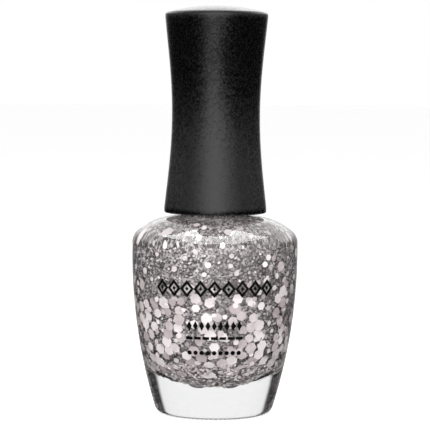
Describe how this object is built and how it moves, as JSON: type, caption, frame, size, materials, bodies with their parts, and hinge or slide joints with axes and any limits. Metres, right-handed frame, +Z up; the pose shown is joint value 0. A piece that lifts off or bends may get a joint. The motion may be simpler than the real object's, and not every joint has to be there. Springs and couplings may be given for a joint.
{
  "type": "nail polish bottle",
  "caption": "Clear barrel-shaped glass bottle of glitter nail polish with a thick base and a tall waisted black screw cap that carries the applicator brush.",
  "frame": {"origin": "centre of the ring that the bottle stands on, on the table plane", "axes": "+Z up along the bottle's axis, towards the cap's domed top; -Y towards the printed front; +X to the right seen from the front"},
  "size_m": [0.033, 0.033, 0.0809],
  "materials": {
    "clear_glass": "clear moulded glass",
    "glitter_polish": "clear lacquer full of silver and pale hexagonal glitter",
    "black_ink": "printed ink",
    "white_paper": "blank coated paper sticker",
    "polished_steel": "polished steel balls",
    "seal_foam": "soft closed-cell seal washer",
    "soft_touch_black": "soft-touch matte black",
    "white_plastic": "natural white moulded plastic",
    "black_plastic": "satin moulded plastic",
    "staple_brass": "bent wire",
    "black_nylon": "nylon filaments"
  },
  "bodies": {
    "bottle": {"glass_bottle": "clear_glass", "polish": "glitter_polish", "front_print": "black_ink", "base_label": "white_paper"},
    "seal": {"cap_liner": "seal_foam"},
    "cap": {"outer_cap": "soft_touch_black", "inner_cap": "white_plastic", "brush_stem": "black_plastic", "bristle_staple": "staple_brass", "brush_bristles": "black_nylon"},
    "ball_a": {"mixing_ball_a": "polished_steel"},
    "ball_b": {"mixing_ball_b": "polished_steel"}
  },
  "joints": [
    {"name": "cap_lift", "type": "slide", "parent": "bottle", "child": "seal", "axis": [0, 0, 1], "range_m": [0, 0.05]},
    {"name": "cap_turn", "type": "hinge", "parent": "seal", "child": "cap", "pos_m": [0, 0, 0.0508], "axis": [0, 0, 1], "range_deg": [0, 540]},
    {"name": "ball_a_roll", "type": "hinge", "parent": "bottle", "child": "ball_a", "pos_m": [0, 0, 0.0207], "axis": [0, -1, 0], "range_deg": [0, 20]},
    {"name": "ball_b_roll", "type": "hinge", "parent": "bottle", "child": "ball_b", "pos_m": [0, 0, 0.0207], "axis": [0, 1, 0], "range_deg": [0, 20]}
  ]
}
